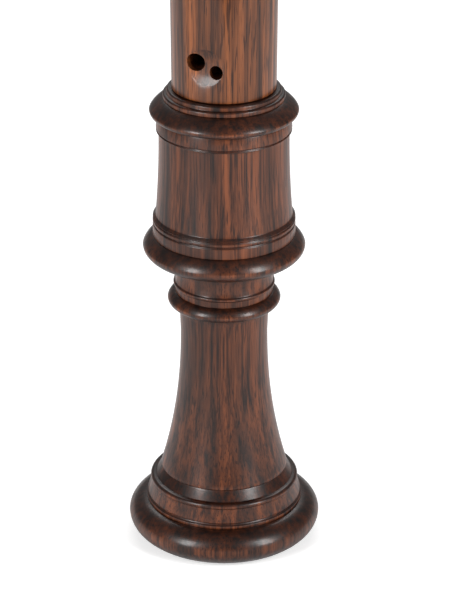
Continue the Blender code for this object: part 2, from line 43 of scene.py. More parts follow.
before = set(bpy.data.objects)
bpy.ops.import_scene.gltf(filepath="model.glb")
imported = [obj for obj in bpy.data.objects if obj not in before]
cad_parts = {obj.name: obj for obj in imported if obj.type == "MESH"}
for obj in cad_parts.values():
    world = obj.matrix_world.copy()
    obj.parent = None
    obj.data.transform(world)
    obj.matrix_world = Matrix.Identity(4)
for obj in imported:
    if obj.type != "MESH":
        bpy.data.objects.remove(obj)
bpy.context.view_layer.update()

MM = 0.001

# How finely the pieces are made
TURN_STEPS = 160
HOLE_SIDES = 48
BEAK_SIDES = 256
DISH_SEGMENTS = 64
DISH_RINGS = 48
CURVE_STEPS = 24
BELL_STEPS = 40
BEAD_STEPS = 12
SMALL_BEAD_STEPS = 6
BASE_BEAD_STEPS = 18
WELD_DISTANCE = 0.00001
SHARP_ANGLE = math.radians(40)

# Corners of an outline: how far they are eased, and which are too short or too flat to ease
CORNER = 0.14 * MM
CORNER_SHARE = 0.45
SHORTEST_EDGE = 1e-6
FLAT_ANGLE = math.radians(155)

# How the curves of a turned piece run: a bead's fullness is 2 where it is a quarter ellipse
BARREL_POWER = 2.1
BELL_POWER = 2.15
BODY_POWER = 1.2
BEAK_POWER = 1.4
RIM_BEAD_FULLNESS = 1.3
FAR_BEAD_FULLNESS = 1.4
SMALL_BEAD_FULLNESS = 1.5
BASE_BEAD_FULLNESS = 1.85

# Fits between the pieces
TOUCH_GAP = 0.3 * MM
STEP_ROUND = 0.4 * MM
CUT_MARGIN = 5.0 * MM
SOCKET_FLOOR_GAP = 1.0 * MM

FOOT_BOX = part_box("foot_joint")
MIDDLE_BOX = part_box("middle_joint")
HEAD_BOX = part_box("head_joint")
BLOCK_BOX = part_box("windway_block")

FOOT_TOP = FOOT_BOX[1][2]
MIDDLE_BOTTOM = FOOT_TOP + TOUCH_GAP
HEAD_BOTTOM = HEAD_BOX[0][2]
MIDDLE_TOP = HEAD_BOTTOM - TOUCH_GAP
HEAD_TOP = HEAD_BOX[1][2]
WINDOW_TOP = BLOCK_BOX[0][2]
TENON_LENGTH = MIDDLE_BOTTOM - MIDDLE_BOX[0][2]
SOCKET_DEPTH = TENON_LENGTH + SOCKET_FLOOR_GAP

# Height is above the foot's joint line. Place and aim are degrees round the joint from the front:
# where the hole lies, and the direction that it is drilled in.
Hole = namedtuple("Hole", "height diameter place aim")
HOLES = (
    Hole(225.0 * MM, 7.0 * MM, 0.0, 0.0),
    Hole(192.0 * MM, 7.5 * MM, 0.0, 0.0),
    Hole(159.0 * MM, 7.0 * MM, 0.0, 0.0),
    Hole(115.0 * MM, 7.0 * MM, 0.0, 0.0),
    Hole(82.0 * MM, 7.5 * MM, 0.0, 0.0),
    Hole(52.0 * MM, 5.6 * MM, -13.5, -2.0),
    Hole(50.5 * MM, 4.2 * MM, 9.5, -2.0),
    Hole(11.7 * MM, 5.5 * MM, -32.6, -21.0),
    Hole(9.2 * MM, 4.1 * MM, -9.4, -21.0),
    Hole(240.0 * MM, 7.0 * MM, 180.0, 180.0),
)
Dish = namedtuple("Dish", "height place")
DISHES = (Dish(10.6 * MM, -21.0), Dish(51.4 * MM, -2.0))

# Grain: noise cells per metre across (X, Y) and along (Z) the wood
BAND_GRAIN = (150.0, 130.0, 5.0)
STREAK_GRAIN = (620.0, 620.0, 8.0)
PORE_GRAIN = (2300.0, 2300.0, 70.0)
CEDAR_GRAIN = (700.0, 500.0, 14.0)
CORK_FLECKS = (900.0, 900.0, 900.0)
EBONY_GRAIN = (900.0, 900.0, 20.0)
BRUSHED_LINES = (2500.0, 400.0, 400.0)
MIDDLE_SHIFT = 37.0
HEAD_SHIFT = 61.0

# Ramps: a noise value and the tone, or for the bands the share of the light tone, found there
WHITE = (1.0, 1.0, 1.0)
BAND_STOPS = ((0.30, 0.15), (0.45, 0.42), (0.58, 0.7), (0.74, 1.0))
STREAK_STOPS = ((0.36, (0.14, 0.11, 0.10)), (0.48, (0.72, 0.68, 0.66)), (0.62, (1.35, 1.3, 1.2)))
PORE_STOPS = ((0.36, (0.12, 0.09, 0.08)), (0.44, WHITE))
# Painted shade, with the end grain: faces turned up or down are darkened by how far their normal
# points along Z
END_GRAIN_AND_SHADE_STOPS = ((0.12, WHITE), (0.55, (0.42, 0.38, 0.38)), (0.9, (0.25, 0.23, 0.25)))
ROUGHNESS_STOPS = ((0.3, (0.42, 0.42, 0.42)), (0.7, (0.30, 0.30, 0.30)))
PLAIN_STOPS = (0.35, 0.65)
PORE_SHARE = 0.8
BUMP_DISTANCE = 0.1 * MM
PORE_BUMP = 0.12
PLAIN_BUMP = 0.2

# Lamps: place, the point that they face, width and height
Lamp = namedtuple("Lamp", "name place target width height")
LEFT_LAMP = Lamp("soft_left", (-0.62, -0.62, 0.42), (0.0, 0.0, 0.08), 0.22, 0.5)
RIGHT_LAMP = Lamp("soft_right", (0.62, -0.52, 0.42), (0.0, 0.0, 0.08), 0.22, 0.5)
REAR_LAMP = Lamp("soft_rear", (0.0, 0.7, 0.8), (0.0, 0.0, 0.1), 0.8, 0.4)

FLOOR_SIZE = 8.0
FLOOR_DROP = 0.2 * MM
SENSOR_WIDTH = 36.0
CAMERA_PLACE = (0.00027, -0.7619, 0.4349)
CAMERA_TILT = 25.148


def size(label, words, millimetres):
    """A length that a user can change, given in millimetres."""
    return FloatProperty(name=label, description=words, default=millimetres * MM, min=0.0,
                         precision=5, unit="LENGTH")


def colour(label, words, value):
    """A colour that a user can change."""
    return FloatVectorProperty(name=label, description=words, default=value, size=3,
                               min=0.0, max=1.0, subtype="COLOR")


class RecorderBulb(bpy.types.PropertyGroup):
    """Heights of the beads and bands round a socket, shared by foot and head."""
    rim_height: size("Rim", "Height of the rim at the joint line", 1.4)
    fillet_height: size("Fillet", "Height of the step next to the rim", 1.5)
    bead_rise: size("Bead rise", "From the fillet to the first bead's crest", 3.8)
    bead_fall: size("Bead fall", "From the first bead's crest to the band", 1.9)
    band_height: size("Band", "Height of the band next to the bead", 3.3)
    barrel_length: size("Barrel", "Length of the hollow barrel", 26.2)
    lip_height: size("Lip", "Height between the two scribed lines", 1.5)
    lip_band: size("Lip band", "Height from the scribed lines to the second bead", 3.2)
    far_rise: size("Second bead rise", "From the band to the second bead's crest", 3.7)
    far_fall: size("Second bead fall", "From the second bead's crest to the neck", 4.4)
    scribe_width: size("Scribed line", "Width of a scribed line", 0.8)
    scribe_depth: size("Scribed depth", "Depth of a scribed line", 0.35)


class RecorderFoot(bpy.types.PropertyGroup):
    """Radii and heights of the foot joint."""
    rim: size("Rim", "Radius of the rim", 16.8)
    fillet: size("Fillet", "Radius of the step next to the rim", 17.9)
    rim_bead: size("Upper bead", "Crest radius of the upper bead", 21.9)
    band: size("Band", "Radius of the band", 20.0)
    barrel_rim: size("Barrel top", "Radius of the barrel at its top", 19.2)
    barrel_neck: size("Barrel bottom", "Radius of the barrel at its bottom", 20.3)
    lip: size("Lip", "Radius of the scribed band", 21.2)
    far_bead: size("Lower bead", "Crest radius of the lower bead", 24.2)
    socket: size("Socket", "Radius of the socket", 12.6)
    neck_fillet: size("Neck fillet", "Radius of the fillet under the bead", 15.9)
    neck_fillet_height: size("Neck fillet height", "Height of that fillet", 1.4)
    neck: size("Neck", "Radius of the hollow neck", 14.3)
    neck_half: size("Half neck", "Half the height of the hollow neck", 2.7)
    neck_step: size("Neck step", "Radius of the step under the neck", 15.2)
    neck_step_height: size("Neck step height", "Height of that step", 1.0)
    neck_foot: size("Neck foot", "Radius above the small bead", 14.6)
    neck_foot_height: size("Neck foot height", "Height above the small bead", 2.3)
    small_bead: size("Small bead", "Crest radius of the small bead", 16.95)
    small_bead_half: size("Half small bead", "Half the small bead's height", 2.4)
    waist_top: size("Waist top", "Radius under the small bead", 13.6)
    waist_top_height: size("Waist top height", "From the small bead to the waist", 2.1)
    waist: size("Waist", "Radius of the narrow waist", 13.1)
    waist_height: size("Waist height", "Height of the narrow waist", 6.3)
    bell: size("Bell", "Radius of the bell at its scribed line", 19.3)
    bell_length: size("Bell length", "Length of the curve from waist to bell", 45.4)
    ledge: size("Ledge", "Radius of the bell above the base lip", 20.9)
    ledge_height: size("Ledge height", "From the bell's scribed line to the base lip", 3.4)
    base_lip: size("Base lip", "Radius of the small lip on the base", 22.6)
    base_lip_half: size("Half base lip", "Half the small lip's height", 0.9)
    base_band: size("Base band", "Radius of the band on the base", 23.5)
    base_band_height: size("Base band height", "Height of the band on the base", 4.0)
    base_ring: size("Base ring", "Radius of the ring on the base bead", 23.8)
    base_ring_height: size("Base ring height", "Height of that ring", 1.4)
    base_shoulder: size("Base shoulder", "Radius where the base bead starts", 23.1)
    base_bead: size("Base bead", "Crest radius of the base bead", 29.3)
    base_bead_rise: size("Base bead rise", "From the ring to the base bead's crest", 5.3)
    base_bead_fall: size("Base bead fall", "From the base bead's crest to the floor", 6.3)
    rest: size("Rest", "Radius of the flat base", 21.8)
    bore_mouth: size("Bore mouth", "Bore radius at the open end", 10.0)
    bore_narrow: size("Bore narrow", "Narrowest bore radius", 7.4)
    bore_flare: size("Bore flare", "Height of the narrowest place of the bore", 14.0)
    bore_top: size("Bore top", "Bore radius at the socket", 8.2)


class RecorderMiddle(bpy.types.PropertyGroup):
    """Radii of the middle joint."""
    bottom: size("Bottom", "Radius at the foot", 15.3)
    top: size("Top", "Radius at the head", 17.4)
    bore_bottom: size("Bore bottom", "Bore radius at the lower tenon", 8.4)
    bore_top: size("Bore top", "Bore radius at the upper tenon", 11.4)
    lap_offset: size("Lap offset", "From the shoulder to the cork", 5.0)
    lap_length: size("Lap length", "Length of the cork's groove", 16.0)
    lap_thickness: size("Lap thickness", "Thickness of the cork", 1.4)
    tenon_play: size("Tenon play", "Clearance of the tenon in its socket", 0.5)
    dish_wide: size("Dish width", "Half width of the finger dish's tool", 14.5)
    dish_tall: size("Dish height", "Half height of the finger dish's tool", 7.6)
    dish_deep: size("Dish depth", "Half depth of the finger dish's tool", 4.0)
    dish_sink: size("Dish sink", "Depth of the finger dish", 1.3)


class RecorderHead(bpy.types.PropertyGroup):
    """Radii and lengths of the head joint."""
    socket: size("Socket", "Radius of the socket", 15.5)
    bore: size("Bore", "Radius of the bore", 11.9)
    rim: size("Rim", "Radius of the rim", 18.8)
    fillet: size("Fillet", "Radius of the step next to the rim", 19.6)
    rim_bead: size("Rim bead", "Crest radius of the bead at the rim", 23.2)
    band: size("Band", "Radius of the band", 21.5)
    barrel_rim: size("Barrel low", "Radius of the barrel near the rim", 20.9)
    barrel_neck: size("Barrel high", "Radius of the barrel near the neck", 21.6)
    lip: size("Lip", "Radius of the scribed band", 22.3)
    far_bead: size("Far bead", "Crest radius of the upper bead", 24.6)
    neck: size("Neck", "Radius of the neck", 18.0)
    neck_length: size("Neck length", "Length of the neck", 9.0)
    body: size("Body", "Largest radius of the body", 18.7)
    body_length: size("Body length", "Length of the body", 96.0)
    tip: size("Tip", "Radius at the tip", 17.2)
    beak_length: size("Beak length", "Length of the beak", 52.0)
    tip_round: size("Tip round", "Rounding of the tip", 2.0)
    window_width: size("Window width", "Width of the window", 13.0)
    window_height: size("Window height", "Height of the window", 4.8)
    labium_length: size("Labium", "Length of the ramp", 25.0)
    labium_edge: size("Labium edge", "Thickness at the ramp's edge", 0.7)
    windway_exit: size("Windway exit", "Height of the air passage at the window", 1.2)
    windway_entry: size("Windway entry", "Height of the air passage at the tip", 2.0)
    beak_curve: size("Beak curve", "Radius of the beak's hollow", 66.5)
    beak_tip: size("Beak tip", "Thickness of the beak at the tip", 9.4)


class RecorderFinish(bpy.types.PropertyGroup):
    """Colours of the woods, the cork and the metal."""
    foot_light: colour("Foot light", "Light streaks of the foot", (0.165, 0.047, 0.016))
    foot_dark: colour("Foot dark", "Dark streaks of the foot", (0.010, 0.003, 0.002))
    warm_light: colour("Body light", "Light streaks of the other joints", (0.290, 0.092, 0.028))
    warm_dark: colour("Body dark", "Dark streaks of the other joints", (0.030, 0.009, 0.004))
    cedar: colour("Cedar", "The block", (0.46, 0.22, 0.11))
    cork: colour("Cork", "The laps", (0.55, 0.36, 0.20))
    ebony: colour("Ebony", "The thumb rest", (0.025, 0.018, 0.015))
    brass: colour("Brass", "The screws", (0.70, 0.50, 0.20))


class RecorderStage(bpy.types.PropertyGroup):
    """Floor, light and lens."""
    floor: colour("Floor", "Colour of the floor", (0.9, 0.9, 0.9))
    floor_glow: FloatProperty(name="Floor glow", default=0.45, min=0.0,
                              description="White that the camera sees added to the floor")
    ambient: FloatProperty(name="Ambient", default=0.22, min=0.0,
                           description="Strength of the light from all round")
    left: FloatProperty(name="Left lamp", description="Power of the left lamp", default=6.5,
                        min=0.0, unit="POWER")
    right: FloatProperty(name="Right lamp", description="Power of the right lamp", default=6.0,
                         min=0.0, unit="POWER")
    rear: FloatProperty(name="Rear lamp", description="Power of the rear lamp", default=4.0,
                        min=0.0, unit="POWER")
    lens: FloatProperty(name="Lens", description="Focal length of the camera", default=168.0,
                        min=1.0, unit="CAMERA")


class Turning:
    """The outside of a turned piece: points of radius and distance along its axis."""

    def __init__(self, radius, bulb):
        self.points = [(radius, 0.0)]
        self.bulb = bulb

    def line(self, radius, run):
        """A straight cut to a radius."""
        self.points.append((radius, self.points[-1][1] + run))

    def scribe(self):
        """A fine line cut into the surface."""
        radius = self.points[-1][0]
        self.line(radius - self.bulb.scribe_depth, self.bulb.scribe_width / 2)
        self.line(radius, self.bulb.scribe_width / 2)

    def swell(self, radius, run, power, steps=CURVE_STEPS):
        """A long curve that leaves its start slowly and reaches a radius."""
        start, base = self.points[-1]
        for step in range(1, steps + 1):
            part = step / steps
            self.points.append((start + (radius - start) * part ** power, base + run * part))

    def bead(self, start, crest, rise, end, fall, fullness=2.0, steps=BEAD_STEPS):
        """A rounded bead from one radius over its crest to another."""
        base = self.points[-1][1]
        for step in range(steps + 1):
            angle = math.pi / 2 * step / steps
            radius = start + (crest - start) * math.sin(angle) ** (2 / fullness)
            along = rise - rise * max(math.cos(angle), 0.0) ** (2 / fullness)
            self.points.append((radius, base + along))
        for step in range(1, steps + 1):
            angle = math.pi / 2 * step / steps
            radius = end + (crest - end) * max(math.cos(angle), 0.0)
            self.points.append((radius, base + rise + fall * math.sin(angle)))


def turn_bulb(bulb, joint, neck):
    """The beads, band and barrel round a joint's socket, from the joint line to the neck."""
    shape = Turning(joint.rim - STEP_ROUND, bulb)
    shape.line(joint.rim, STEP_ROUND)
    shape.line(joint.rim, bulb.rim_height - STEP_ROUND)
    shape.line(joint.fillet - STEP_ROUND, 0.1 * STEP_ROUND)
    shape.line(joint.fillet, STEP_ROUND)
    shape.line(joint.fillet, bulb.fillet_height - STEP_ROUND)
    shape.bead(joint.fillet - STEP_ROUND, joint.rim_bead, bulb.bead_rise,
               joint.band - 1.5 * STEP_ROUND, bulb.bead_fall, RIM_BEAD_FULLNESS)
    shape.line(joint.band - STEP_ROUND, 0.5 * STEP_ROUND)
    shape.line(joint.band, bulb.band_height)
    shape.scribe()
    shape.line(joint.barrel_rim, STEP_ROUND)
    shape.swell(joint.barrel_neck, bulb.barrel_length, BARREL_POWER)
    shape.line(joint.lip, 2 * STEP_ROUND)
    shape.scribe()
    shape.line(joint.lip, bulb.lip_height - bulb.scribe_width)
    shape.scribe()
    shape.line(joint.lip, bulb.lip_band)
    shape.bead(joint.lip - STEP_ROUND, joint.far_bead, bulb.far_rise, neck, bulb.far_fall,
               FAR_BEAD_FULLNESS)
    return shape


def turn_foot(foot, bulb):
    """The foot joint from its joint line down to its base."""
    shape = turn_bulb(bulb, foot, foot.neck_fillet + STEP_ROUND)
    shape.line(foot.neck_fillet, 0.5 * STEP_ROUND)
    shape.line(foot.neck_fillet, foot.neck_fillet_height)
    shape.line(foot.neck + STEP_ROUND, 0.5 * STEP_ROUND)
    shape.line(foot.neck, foot.neck_half)
    shape.line(foot.neck + STEP_ROUND, foot.neck_half)
    shape.line(foot.neck_step, STEP_ROUND)
    shape.line(foot.neck_step, foot.neck_step_height - STEP_ROUND)
    shape.line(foot.neck_foot, STEP_ROUND)
    shape.line(foot.neck_foot, foot.neck_foot_height - STEP_ROUND)
    shape.bead(foot.neck_foot, foot.small_bead, foot.small_bead_half, foot.waist_top,
               foot.small_bead_half, SMALL_BEAD_FULLNESS)
    shape.line((foot.waist_top + foot.waist) / 2, foot.waist_top_height)
    shape.line(foot.waist, foot.waist_height)
    shape.swell(foot.bell, foot.bell_length, BELL_POWER, BELL_STEPS)
    shape.scribe()
    shape.line(foot.ledge, foot.ledge_height - bulb.scribe_width)
    shape.bead(foot.ledge + STEP_ROUND, foot.base_lip, foot.base_lip_half,
               foot.base_lip - STEP_ROUND, foot.base_lip_half, steps=SMALL_BEAD_STEPS)
    shape.line(foot.base_band, foot.base_band_height)
    shape.scribe()
    shape.line(foot.base_ring, STEP_ROUND / 4)
    shape.line(foot.base_ring, foot.base_ring_height - STEP_ROUND)
    shape.bead(foot.base_shoulder, foot.base_bead, foot.base_bead_rise, foot.rest,
               foot.base_bead_fall, BASE_BEAD_FULLNESS, BASE_BEAD_STEPS)
    return shape


def turn_head(head, bulb):
    """The head joint from its joint line up to the tip of its beak."""
    shape = turn_bulb(bulb, head, head.neck + 2 * STEP_ROUND)
    shape.line(head.neck + STEP_ROUND, STEP_ROUND)
    shape.line(head.neck, head.neck_length)
    shape.swell(head.body, head.body_length, BODY_POWER)
    shape.swell(head.tip, head.beak_length, BEAK_POWER)
    shape.line(head.tip - 0.3 * head.tip_round, 0.7 * head.tip_round)
    shape.line(head.tip - head.tip_round, 0.3 * head.tip_round)
    return shape


def soften(points):
    """The outline with its sharp corners eased a little, as fine abrasive does."""
    smooth = []
    count = len(points)
    for index, point in enumerate(points):
        here = Vector(point)
        before = Vector(points[index - 1]) - here
        after = Vector(points[(index + 1) % count]) - here
        short = min(before.length, after.length)
        if short < SHORTEST_EDGE or before.angle(after) > FLAT_ANGLE:
            smooth.append(point)
            continue
        reach = min(CORNER, CORNER_SHARE * short)
        start = here + before.normalized() * reach
        end = here + after.normalized() * reach
        for part in (0.0, 0.5, 1.0):
            eased = start.lerp(here, part).lerp(here.lerp(end, part), part)
            smooth.append((eased.x, eased.y))
    return smooth


def add_object(name, mesh):
    """A new object in the scene."""
    item = bpy.data.objects.new(name, mesh)
    bpy.context.scene.collection.objects.link(item)
    return item


def mesh_object(name, shape):
    """A new object from a bmesh, which is freed."""
    mesh = bpy.data.meshes.new(name)
    shape.to_mesh(mesh)
    shape.free()
    return add_object(name, mesh)


def turned(name, outline):
    """A body turned round Z from a closed outline of radius and height."""
    mesh = bpy.data.meshes.new(name)
    vertices = [(radius, 0.0, height) for radius, height in outline]
    count = len(vertices)
    mesh.from_pydata(vertices, [(i, (i + 1) % count) for i in range(count)], [])
    item = add_object(name, mesh)
    screw = item.modifiers.new("turn", "SCREW")
    screw.axis = "Z"
    screw.angle = 2 * math.pi
    screw.steps = TURN_STEPS
    screw.render_steps = TURN_STEPS
    screw.use_merge_vertices = True
    screw.merge_threshold = WELD_DISTANCE
    return item


def rod(name, radius_low, radius_high, length, place, sides=HOLE_SIDES):
    """A round bar or cone along its own Z."""
    shape = bmesh.new()
    bmesh.ops.create_cone(shape, cap_ends=True, segments=sides, radius1=radius_low,
                          radius2=radius_high, depth=length)
    item = mesh_object(name, shape)
    item.matrix_world = place
    return item


def plate_across(name, outline, width):
    """A flat outline in Y and Z, extruded along X."""
    shape = bmesh.new()
    corners = [shape.verts.new((-width / 2, y, z)) for y, z in outline]
    face = shape.faces.new(corners)
    grown = bmesh.ops.extrude_face_region(shape, geom=[face])
    moved = [part for part in grown["geom"] if isinstance(part, bmesh.types.BMVert)]
    bmesh.ops.translate(shape, vec=(width, 0.0, 0.0), verts=moved)
    bmesh.ops.recalc_face_normals(shape, faces=shape.faces)
    return mesh_object(name, shape)


def boolean(item, tool, operation="DIFFERENCE"):
    """Cuts an item with a tool, or keeps what both share."""
    modifier = item.modifiers.new(tool.name, "BOOLEAN")
    modifier.operation = operation
    modifier.solver = "EXACT"
    modifier.object = tool


def applied(item, tools=()):
    """The item with its modifiers applied; its cutters are removed."""
    bpy.context.view_layer.update()
    depsgraph = bpy.context.evaluated_depsgraph_get()
    mesh = bpy.data.meshes.new_from_object(item.evaluated_get(depsgraph))
    item.modifiers.clear()
    old = item.data
    item.data = mesh
    bpy.data.meshes.remove(old)
    for tool in tools:
        bpy.data.objects.remove(tool, do_unlink=True)
    mesh.shade_smooth()
    mesh.set_sharp_from_angle(angle=SHARP_ANGLE)
    return item


def around(angle, height, radius=0.0):
    """A place at an angle from -Y towards +X, whose own Z points out from the bore."""
    turn = math.radians(angle)
    outward = Vector((math.sin(turn), -math.cos(turn), 0.0))
    facing = outward.to_track_quat("Z", "Y").to_matrix().to_4x4()
    return Matrix.Translation(outward * radius + Vector((0.0, 0.0, height))) @ facing


def tenon_steps(middle, socket, shoulder, direction):
    """The outline of a tenon from its shoulder to its end, with the groove for its cork."""
    collar = socket - middle.tenon_play
    core = socket - 2 * TOUCH_GAP - middle.lap_thickness
    lap_end = middle.lap_offset + middle.lap_length
    stops = (
        (collar, 0.0),
        (collar, middle.lap_offset),
        (core, middle.lap_offset),
        (core, lap_end),
        (collar, lap_end),
        (collar, TENON_LENGTH - STEP_ROUND),
        (collar - STEP_ROUND, TENON_LENGTH),
    )
    return [(radius, shoulder + direction * along) for radius, along in stops]


def surface_radius(middle, height):
    """The middle joint's radius at a height above the foot's joint line."""
    return middle.bottom + (middle.top - middle.bottom) * height / (MIDDLE_TOP - MIDDLE_BOTTOM)


def dish_tool(middle, dish):
    """The rounded cutter that hollows the wood round a pair of holes."""
    shape = bmesh.new()
    bmesh.ops.create_uvsphere(shape, u_segments=DISH_SEGMENTS, v_segments=DISH_RINGS, radius=1.0)
    bmesh.ops.scale(shape, vec=(middle.dish_wide, middle.dish_tall, middle.dish_deep),
                    verts=shape.verts)
    tool = mesh_object("dish", shape)
    centre = surface_radius(middle, dish.height) + middle.dish_deep - middle.dish_sink
    tool.matrix_world = around(dish.place, MIDDLE_BOTTOM + dish.height, centre)
    return tool


def drill_tool(middle, hole):
    """The drill of a finger hole, from outside the wood into the bore."""
    length = middle.top + CUT_MARGIN
    radius = surface_radius(middle, hole.height)
    surface = around(hole.place, MIDDLE_BOTTOM + hole.height, radius).translation
    place = around(hole.aim, 0.0)
    reach = place.to_3x3() @ Vector((0.0, 0.0, CUT_MARGIN - length / 2))
    place.translation = surface + reach
    return rod("drill", hole.diameter / 2, hole.diameter / 2, length, place)


def window_tool(head):
    """The cutter of the window and of the ramp below it."""
    edge = head.bore + head.labium_edge
    outside = head.body + CUT_MARGIN
    inside = head.bore - CUT_MARGIN
    run = (outside - edge) / ((head.body - edge) / head.labium_length)
    low = WINDOW_TOP - head.window_height
    outline = [(-inside, WINDOW_TOP), (-inside, low), (-edge, low),
               (-outside, low - run), (-outside, WINDOW_TOP)]
    return plate_across("window", outline, head.window_width)


def windway_tools(head):
    """The arched cutter of the air passage, and the plate that gives it its sides."""
    below_tip = HEAD_TOP - WINDOW_TOP
    length = below_tip + CUT_MARGIN
    slope = (head.windway_entry - head.windway_exit) / below_tip
    low = head.bore + head.windway_exit
    place = Matrix.Translation((0.0, 0.0, WINDOW_TOP + length / 2))
    arch = rod("windway", low, low + slope * length, length, place, sides=TURN_STEPS)
    depth = 2 * head.body
    outline = [(-depth, WINDOW_TOP - length), (0.0, WINDOW_TOP - length),
               (0.0, WINDOW_TOP + 2 * length), (-depth, WINDOW_TOP + 2 * length)]
    sides = plate_across("windway_sides", outline, head.window_width)
    boolean(arch, sides, "INTERSECT")
    return arch, sides


def beak_tool(head):
    """The wide bar that hollows the back of the beak."""
    nearest = -head.tip + head.beak_tip
    centre = Vector((0.0, nearest + head.beak_curve, HEAD_TOP))
    place = Matrix.Translation(centre) @ Matrix.Rotation(math.pi / 2, 4, "Y")
    return rod("beak_curve", head.beak_curve, head.beak_curve, 2 * (head.body + CUT_MARGIN),
               place, sides=BEAK_SIDES)


def set_inputs(node, values):
    """Sets sockets of a node by their names."""
    for name, value in values.items():
        node.inputs[name].default_value = value


def mixed_tone(low, high, part):
    """A tone between two others."""
    return tuple(a + (b - a) * part for a, b in zip(low, high))


class Recipe:
    """A node material, whose methods add nodes and give back their result."""

    def __init__(self, name):
        self.material = bpy.data.materials.new(name)
        self.material.use_nodes = True
        self.nodes = self.material.node_tree.nodes
        self.links = self.material.node_tree.links
        self.shader = self.nodes["Principled BSDF"]

    def noise(self, scale, detail, roughness, distortion=0.0):
        """Noise in object coordinates, stretched along the grain."""
        place = self.nodes.new("ShaderNodeTexCoord")
        mapping = self.nodes.new("ShaderNodeMapping")
        texture = self.nodes.new("ShaderNodeTexNoise")
        set_inputs(mapping, {"Scale": scale})
        set_inputs(texture, {"Scale": 1.0, "Detail": detail, "Roughness": roughness,
                             "Distortion": distortion})
        self.links.new(place.outputs["Object"], mapping.inputs["Vector"])
        self.links.new(mapping.outputs["Vector"], texture.inputs["Vector"])
        return texture.outputs["Fac"]

    def ramp(self, value, stops):
        """Tones picked by a value."""
        node = self.nodes.new("ShaderNodeValToRGB")
        elements = node.color_ramp.elements
        while len(elements) < len(stops):
            elements.new(0.5)
        for element, (position, tone) in zip(elements, stops):
            element.position = position
            element.color = (*tone, 1.0)
        self.links.new(value, node.inputs["Fac"])
        return node.outputs["Color"]

    def multiply(self, factor, first, second):
        """One tone darkened by another."""
        node = self.nodes.new("ShaderNodeMix")
        node.data_type = "RGBA"
        node.blend_type = "MULTIPLY"
        node.clamp_result = True
        set_inputs(node, {"Factor": factor})
        self.links.new(first, node.inputs["A"])
        self.links.new(second, node.inputs["B"])
        return node.outputs["Result"]

    def end_grain_and_painted_shade(self):
        """Darker where the surface faces up or down, on the beads and shoulders: partly the end
        grain where the cut crosses it, partly painted shade.
        """
        place = self.nodes.new("ShaderNodeTexCoord")
        parts = self.nodes.new("ShaderNodeSeparateXYZ")
        across = self.nodes.new("ShaderNodeMath")
        across.operation = "ABSOLUTE"
        self.links.new(place.outputs["Normal"], parts.inputs["Vector"])
        self.links.new(parts.outputs["Z"], across.inputs[0])
        return self.ramp(across.outputs[0], END_GRAIN_AND_SHADE_STOPS)

    def bump(self, height, strength):
        """Small relief from a value."""
        node = self.nodes.new("ShaderNodeBump")
        set_inputs(node, {"Strength": strength, "Distance": BUMP_DISTANCE})
        self.links.new(height, node.inputs["Height"])
        self.links.new(node.outputs["Normal"], self.shader.inputs["Normal"])


def rosewood(name, light, dark, shift):
    """Rosewood: broad colour bands, fine dark streaks and open pores along the grain."""
    wood = Recipe(name)
    across, deep, along = BAND_GRAIN
    bands = wood.noise((across + shift, deep, along), 3.0, 0.6, 0.8)
    base = wood.ramp(bands, [(stop, mixed_tone(dark, light, part)) for stop, part in BAND_STOPS])
    across, deep, along = STREAK_GRAIN
    streaks = wood.noise((across, deep + shift, along), 5.0, 0.68, 0.25)
    streaked = wood.multiply(1.0, base, wood.ramp(streaks, STREAK_STOPS))
    across, deep, along = PORE_GRAIN
    pores = wood.noise((across, deep, along + shift), 2.0, 0.5)
    pored = wood.multiply(PORE_SHARE, streaked, wood.ramp(pores, PORE_STOPS))
    # Painted shade on the up and down faces of beads and shoulders, together with the end grain's
    # darker tone
    tone = wood.multiply(1.0, pored, wood.end_grain_and_painted_shade())
    wood.links.new(tone, wood.shader.inputs["Base Color"])
    wood.links.new(wood.ramp(streaks, ROUGHNESS_STOPS), wood.shader.inputs["Roughness"])
    wood.bump(pores, PORE_BUMP)
    set_inputs(wood.shader, {"Specular IOR Level": 0.35, "Coat Weight": 0.2,
                             "Coat Roughness": 0.18})
    return wood.material


def grained(name, tone, scale, roughness, contrast=0.25, metallic=0.0):
    """A plainer material with grain or flecks of its own tone."""
    plain = Recipe(name)
    value = plain.noise(scale, 5.0, 0.65, 0.2)
    low = mixed_tone((0.0, 0.0, 0.0), tone, 1.0 - contrast)
    high = tuple(min(1.0, part * (1.0 + contrast)) for part in tone)
    shade = plain.ramp(value, list(zip(PLAIN_STOPS, (low, high))))
    plain.links.new(shade, plain.shader.inputs["Base Color"])
    set_inputs(plain.shader, {"Roughness": roughness, "Metallic": metallic})
    plain.bump(value, PLAIN_BUMP)
    return plain.material


def finish_piece(item, material, body, node):
    """Dresses a new piece, which stands for a node and rides on its body."""
    item.data.materials.clear()
    item.data.materials.append(material)
    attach(item, body)
    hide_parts(node)


def dress_node(node, material):
    """Gives a node that stays visible a better material."""
    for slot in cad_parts[node].material_slots:
        slot.material = material


class RECORDER_OT_foot(bpy.types.Operator):
    """Make the turned foot joint"""
    bl_idname = "recorder.foot"
    bl_label = "Foot joint"

    def execute(self, context):
        foot = context.scene.recorder_foot
        finish = context.scene.recorder_finish
        shape = turn_foot(foot, context.scene.recorder_bulb)
        socket_floor = FOOT_TOP - SOCKET_DEPTH
        outline = [(radius, FOOT_TOP - along) for radius, along in shape.points]
        outline += [
            (foot.bore_mouth, 0.0),
            (foot.bore_narrow, foot.bore_flare),
            (foot.bore_top, socket_floor),
            (foot.socket, socket_floor),
            (foot.socket, FOOT_TOP - STEP_ROUND),
            (foot.socket + STEP_ROUND, FOOT_TOP),
        ]
        piece = applied(turned("foot_turned", soften(outline)))
        wood = rosewood("rosewood_dark_grain", finish.foot_light, finish.foot_dark, 0.0)
        finish_piece(piece, wood, "foot", "foot_joint")
        return {"FINISHED"}


